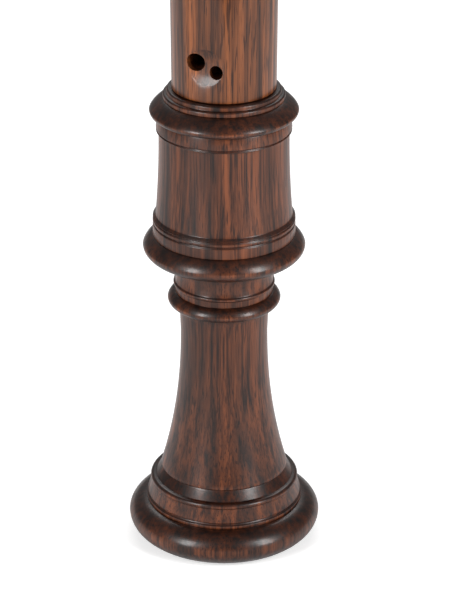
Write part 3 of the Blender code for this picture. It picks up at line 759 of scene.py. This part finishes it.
class RECORDER_OT_middle(bpy.types.Operator):
    """Make the middle joint with its finger holes"""
    bl_idname = "recorder.middle"
    bl_label = "Middle joint"

    def execute(self, context):
        middle = context.scene.recorder_middle
        head = context.scene.recorder_head
        foot = context.scene.recorder_foot
        finish = context.scene.recorder_finish
        outline = list(reversed(tenon_steps(middle, head.socket, MIDDLE_TOP, 1)))
        outline += [(middle.top, MIDDLE_TOP), (middle.bottom, MIDDLE_BOTTOM)]
        outline += tenon_steps(middle, foot.socket, MIDDLE_BOTTOM, -1)
        outline += [
            (middle.bore_bottom, MIDDLE_BOTTOM - TENON_LENGTH),
            (middle.bore_top, MIDDLE_TOP + TENON_LENGTH),
        ]
        piece = turned("middle_turned", soften(outline))
        tools = [dish_tool(middle, dish) for dish in DISHES]
        tools += [drill_tool(middle, hole) for hole in HOLES]
        for tool in tools:
            boolean(piece, tool)
        piece = applied(piece, tools)
        wood = rosewood("rosewood_warm_grain", finish.warm_light, finish.warm_dark, MIDDLE_SHIFT)
        finish_piece(piece, wood, "middle", "middle_joint")
        return {"FINISHED"}


class RECORDER_OT_head(bpy.types.Operator):
    """Make the head joint with its window, windway and beak"""
    bl_idname = "recorder.head"
    bl_label = "Head joint"

    def execute(self, context):
        head = context.scene.recorder_head
        finish = context.scene.recorder_finish
        shape = turn_head(head, context.scene.recorder_bulb)
        socket_floor = HEAD_BOTTOM + SOCKET_DEPTH
        outline = [(radius, HEAD_BOTTOM + along) for radius, along in reversed(shape.points)]
        outline += [
            (head.socket + STEP_ROUND, HEAD_BOTTOM),
            (head.socket, HEAD_BOTTOM + STEP_ROUND),
            (head.socket, socket_floor),
            (head.bore, socket_floor),
            (head.bore, HEAD_TOP),
        ]
        piece = turned("head_turned", soften(outline))
        window = window_tool(head)
        windway, windway_sides = windway_tools(head)
        beak = beak_tool(head)
        for tool in (window, windway, beak):
            boolean(piece, tool)
        piece = applied(piece, (window, windway, windway_sides, beak))
        wood = rosewood("rosewood_head_grain", finish.warm_light, finish.warm_dark, HEAD_SHIFT)
        finish_piece(piece, wood, "head", "head_joint")
        return {"FINISHED"}


class RECORDER_OT_block(bpy.types.Operator):
    """Make the cedar block under the windway"""
    bl_idname = "recorder.block"
    bl_label = "Block"

    def execute(self, context):
        head = context.scene.recorder_head
        finish = context.scene.recorder_finish
        radius = head.bore - TOUCH_GAP
        place = Matrix.Translation((0.0, 0.0, (WINDOW_TOP + HEAD_TOP) / 2))
        piece = rod("block_cedar", radius, radius, HEAD_TOP - WINDOW_TOP, place, sides=TURN_STEPS)
        piece.data.transform(place)
        piece.matrix_world = Matrix.Identity(4)
        beak = beak_tool(head)
        boolean(piece, beak)
        piece = applied(piece, [beak])
        cedar = grained("cedar_grain", finish.cedar, CEDAR_GRAIN, 0.62)
        finish_piece(piece, cedar, "block", "windway_block")
        return {"FINISHED"}


class RECORDER_OT_fittings(bpy.types.Operator):
    """Finish the cork laps, the thumb rest and its screws"""
    bl_idname = "recorder.fittings"
    bl_label = "Laps, thumb rest and screws"

    def execute(self, context):
        finish = context.scene.recorder_finish
        cork = grained("cork_flecks", finish.cork, CORK_FLECKS, 0.8, contrast=0.4)
        ebony = grained("ebony_grain", finish.ebony, EBONY_GRAIN, 0.32, contrast=0.5)
        brass = grained("brass_brushed", finish.brass, BRUSHED_LINES, 0.28, contrast=0.08,
                        metallic=1.0)
        for node in ("lower_tenon_cork", "upper_tenon_cork"):
            dress_node(node, cork)
        dress_node("thumb_rest", ebony)
        for node in ("thumb_rest_screw_1", "thumb_rest_screw_2"):
            dress_node(node, brass)
        return {"FINISHED"}


def area_light(lamp, power):
    """A soft rectangular lamp that faces its target."""
    data = bpy.data.lights.new(lamp.name, "AREA")
    data.shape = "RECTANGLE"
    data.size = lamp.width
    data.size_y = lamp.height
    data.energy = power
    item = add_object(lamp.name, data)
    item.location = lamp.place
    towards = Vector(lamp.target) - Vector(lamp.place)
    item.rotation_euler = towards.to_track_quat("-Z", "Y").to_euler()


def make_floor(stage):
    """A pale floor that keeps the shadow and looks near white to the camera."""
    bpy.ops.mesh.primitive_plane_add(size=FLOOR_SIZE, location=(0.0, 0.0, -FLOOR_DROP))
    floor = bpy.context.object
    floor.name = "floor"
    pale = Recipe("white_floor")
    set_inputs(pale.shader, {"Base Color": (*stage.floor, 1.0), "Roughness": 0.9,
                             "Specular IOR Level": 0.0, "Emission Color": (*WHITE, 1.0)})
    path = pale.nodes.new("ShaderNodeLightPath")
    glow = pale.nodes.new("ShaderNodeMath")
    glow.operation = "MULTIPLY"
    glow.inputs[1].default_value = stage.floor_glow
    pale.links.new(path.outputs["Is Camera Ray"], glow.inputs[0])
    pale.links.new(glow.outputs[0], pale.shader.inputs["Emission Strength"])
    floor.data.materials.append(pale.material)


def make_world(scene, stage):
    """A white background for the camera, and weaker light from all round for the object."""
    world = bpy.data.worlds.new("studio")
    scene.world = world
    world.use_nodes = True
    nodes = world.node_tree.nodes
    links = world.node_tree.links
    background = nodes["Background"]
    set_inputs(background, {"Color": (*WHITE, 1.0)})
    path = nodes.new("ShaderNodeLightPath")
    seen = nodes.new("ShaderNodeMath")
    seen.operation = "MAXIMUM"
    level = nodes.new("ShaderNodeMapRange")
    set_inputs(level, {"To Min": stage.ambient, "To Max": 1.0})
    links.new(path.outputs["Is Camera Ray"], seen.inputs[0])
    links.new(path.outputs["Is Transmission Ray"], seen.inputs[1])
    links.new(seen.outputs[0], level.inputs["Value"])
    links.new(level.outputs[0], background.inputs["Strength"])


def make_camera(scene, stage):
    """The camera at the photograph's viewing angle."""
    data = bpy.data.cameras.new("camera")
    data.lens = stage.lens
    data.sensor_width = SENSOR_WIDTH
    camera = add_object("camera", data)
    camera.location = CAMERA_PLACE
    camera.rotation_euler = (math.radians(90.0 - CAMERA_TILT), 0.0, 0.0)
    scene.camera = camera


class RECORDER_OT_stage(bpy.types.Operator):
    """Make the pale floor, the soft light and the camera"""
    bl_idname = "recorder.stage"
    bl_label = "Stage and camera"

    def execute(self, context):
        stage = context.scene.recorder_stage
        make_floor(stage)
        make_world(context.scene, stage)
        area_light(LEFT_LAMP, stage.left)
        area_light(RIGHT_LAMP, stage.right)
        area_light(REAR_LAMP, stage.rear)
        make_camera(context.scene, stage)
        context.scene.view_settings.view_transform = "Standard"
        return {"FINISHED"}


class RECORDER_PT_panel(bpy.types.Panel):
    """Steps of the recorder in the sidebar"""
    bl_label = "Tenor Recorder"
    bl_idname = "RECORDER_PT_panel"
    bl_space_type = "VIEW_3D"
    bl_region_type = "UI"
    bl_category = "Recorder"

    def draw(self, context):
        for step in OPERATORS:
            self.layout.operator(step.bl_idname)
        for settings in SETTINGS:
            group = getattr(context.scene, settings)
            for name in group.bl_rna.properties.keys():
                if name not in ("rna_type", "name"):
                    self.layout.prop(group, name)


OPERATORS = (RECORDER_OT_foot, RECORDER_OT_middle, RECORDER_OT_head, RECORDER_OT_block,
             RECORDER_OT_fittings, RECORDER_OT_stage)
SETTINGS = {
    "recorder_bulb": RecorderBulb,
    "recorder_foot": RecorderFoot,
    "recorder_middle": RecorderMiddle,
    "recorder_head": RecorderHead,
    "recorder_finish": RecorderFinish,
    "recorder_stage": RecorderStage,
}


def register():
    for name, group in SETTINGS.items():
        bpy.utils.register_class(group)
        setattr(bpy.types.Scene, name, PointerProperty(type=group))
    for item in (*OPERATORS, RECORDER_PT_panel):
        bpy.utils.register_class(item)


def unregister():
    for item in reversed((*OPERATORS, RECORDER_PT_panel)):
        bpy.utils.unregister_class(item)
    for name, group in reversed(SETTINGS.items()):
        delattr(bpy.types.Scene, name)
        bpy.utils.unregister_class(group)


def main():
    register()
    bpy.ops.recorder.foot()
    bpy.ops.recorder.middle()
    bpy.ops.recorder.head()
    bpy.ops.recorder.block()
    bpy.ops.recorder.fittings()
    bpy.ops.recorder.stage()


if __name__ == "__main__":
    main()
